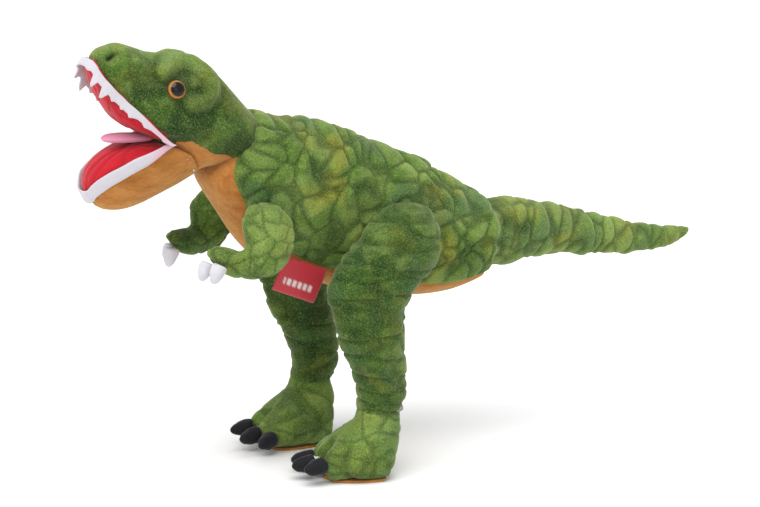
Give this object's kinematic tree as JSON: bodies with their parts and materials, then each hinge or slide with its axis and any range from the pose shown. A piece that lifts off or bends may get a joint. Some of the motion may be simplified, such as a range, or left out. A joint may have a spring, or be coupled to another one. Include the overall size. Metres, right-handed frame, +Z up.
{
  "type": "stuffed dinosaur",
  "caption": "Standing two-legged plush dinosaur with an open toothed mouth, small arms, clawed feet and a long tapering tail; limbs, neck, jaw and tail flex on their seams.",
  "frame": {"origin": "bottom centre of the bounding box, on the plane of the soles", "axes": "+Z up; snout toward -X and tail toward +X; the dinosaur's own left side toward -Y"},
  "size_m": [0.5304, 0.1612, 0.3377],
  "materials": {
    "green_plush": "short pile printed in mottled greens",
    "orange_plush": "short brushed pile",
    "red_lining": "smooth brushed cloth",
    "white_felt": "cut felt",
    "pink_felt": "cut felt",
    "white_claw_cloth": "stuffed smooth cloth",
    "black_claw_cloth": "stuffed short pile",
    "safety_eye": "polished, amber ring round a black pupil",
    "eye_washer": "moulded",
    "filling_fibre": "loose fibre",
    "label_tape": "woven satin tape"
  },
  "bodies": {
    "torso": {"torso_skin": "green_plush", "belly_panel": "orange_plush", "torso_filling": "filling_fibre", "side_label": "label_tape"},
    "head": {"head_skin": "green_plush", "throat_panel": "orange_plush", "palate_lining": "red_lining", "head_filling": "filling_fibre", "upper_gum": "white_felt", "left_eye": "safety_eye", "right_eye": "safety_eye", "left_eye_washer": "eye_washer", "right_eye_washer": "eye_washer"},
    "jaw": {"jaw_skin": "orange_plush", "jaw_lining": "red_lining", "jaw_filling": "filling_fibre", "lower_gum": "white_felt"},
    "tongue": {"tongue": "pink_felt"},
    "tail_base": {"tail_base_skin": "green_plush", "tail_base_filling": "filling_fibre"},
    "tail_tip": {"tail_tip_skin": "green_plush", "tail_tip_filling": "filling_fibre"},
    "left_arm": {"left_arm_skin": "green_plush", "left_arm_filling": "filling_fibre", "left_inner_finger_claw": "white_claw_cloth", "left_outer_finger_claw": "white_claw_cloth"},
    "right_arm": {"right_arm_skin": "green_plush", "right_arm_filling": "filling_fibre", "right_inner_finger_claw": "white_claw_cloth", "right_outer_finger_claw": "white_claw_cloth"},
    "left_leg": {"left_leg_skin": "green_plush", "left_leg_filling": "filling_fibre"},
    "right_leg": {"right_leg_skin": "green_plush", "right_leg_filling": "filling_fibre"},
    "left_foot": {"left_foot_skin": "green_plush", "left_foot_filling": "filling_fibre", "left_sole": "orange_plush", "left_inner_toe_claw": "black_claw_cloth", "left_middle_toe_claw": "black_claw_cloth", "left_outer_toe_claw": "black_claw_cloth"},
    "right_foot": {"right_foot_skin": "green_plush", "right_foot_filling": "filling_fibre", "right_sole": "orange_plush", "right_inner_toe_claw": "black_claw_cloth", "right_middle_toe_claw": "black_claw_cloth", "right_outer_toe_claw": "black_claw_cloth"}
  },
  "joints": [
    {"name": "neck_nod", "type": "hinge", "parent": "torso", "child": "head", "pos_m": [-0.1495, 0, 0.262], "axis": [0, 1, 0], "range_deg": [-15, 15], "stiffness_Nm_per_rad": 2},
    {"name": "jaw_hinge", "type": "hinge", "parent": "head", "child": "jaw", "pos_m": [-0.203, 0, 0.262], "axis": [0, 1, 0], "range_deg": [-4, 16], "stiffness_Nm_per_rad": 0.4},
    {"name": "tongue_fold", "type": "hinge", "parent": "head", "child": "tongue", "pos_m": [-0.206, 0, 0.262], "axis": [0, 1, 0], "range_deg": [-2.2, 8.8], "stiffness_Nm_per_rad": 0.02},
    {"name": "tail_swing", "type": "hinge", "parent": "torso", "child": "tail_base", "pos_m": [0.079, 0, 0.166], "axis": [0, 0, 1], "range_deg": [-20, 20], "stiffness_Nm_per_rad": 0.8},
    {"name": "tail_curl", "type": "hinge", "parent": "tail_base", "child": "tail_tip", "pos_m": [0.172, 0, 0.154], "axis": [0, 0, 1], "range_deg": [-20, 20], "stiffness_Nm_per_rad": 0.3},
    {"name": "left_shoulder", "type": "hinge", "parent": "torso", "child": "left_arm", "pos_m": [-0.138, -0.0555, 0.204], "axis": [0, 1, 0], "range_deg": [-30, 45], "stiffness_Nm_per_rad": 0.3},
    {"name": "right_shoulder", "type": "hinge", "parent": "torso", "child": "right_arm", "pos_m": [-0.138, 0.0555, 0.204], "axis": [0, 1, 0], "range_deg": [-22, 53], "stiffness_Nm_per_rad": 0.3},
    {"name": "left_hip", "type": "hinge", "parent": "torso", "child": "left_leg", "pos_m": [-0.025, -0.061, 0.17], "axis": [0, 1, 0], "range_deg": [-20, 20], "stiffness_Nm_per_rad": 4},
    {"name": "right_hip", "type": "hinge", "parent": "torso", "child": "right_leg", "pos_m": [-0.025, 0.061, 0.17], "axis": [0, 1, 0], "range_deg": [-20, 20], "stiffness_Nm_per_rad": 4},
    {"name": "left_ankle", "type": "hinge", "parent": "left_leg", "child": "left_foot", "pos_m": [-0.05, -0.052, 0.044], "axis": [0, 1, 0], "range_deg": [-10, 10], "stiffness_Nm_per_rad": 3},
    {"name": "right_ankle", "type": "hinge", "parent": "right_leg", "child": "right_foot", "pos_m": [-0.057, 0.052, 0.044], "axis": [0, 1, 0], "range_deg": [-10, 10], "stiffness_Nm_per_rad": 3}
  ],
  "couplings": [
    {"joint": "tongue_fold", "follows": "jaw_hinge", "ratio": 0.55}
  ]
}
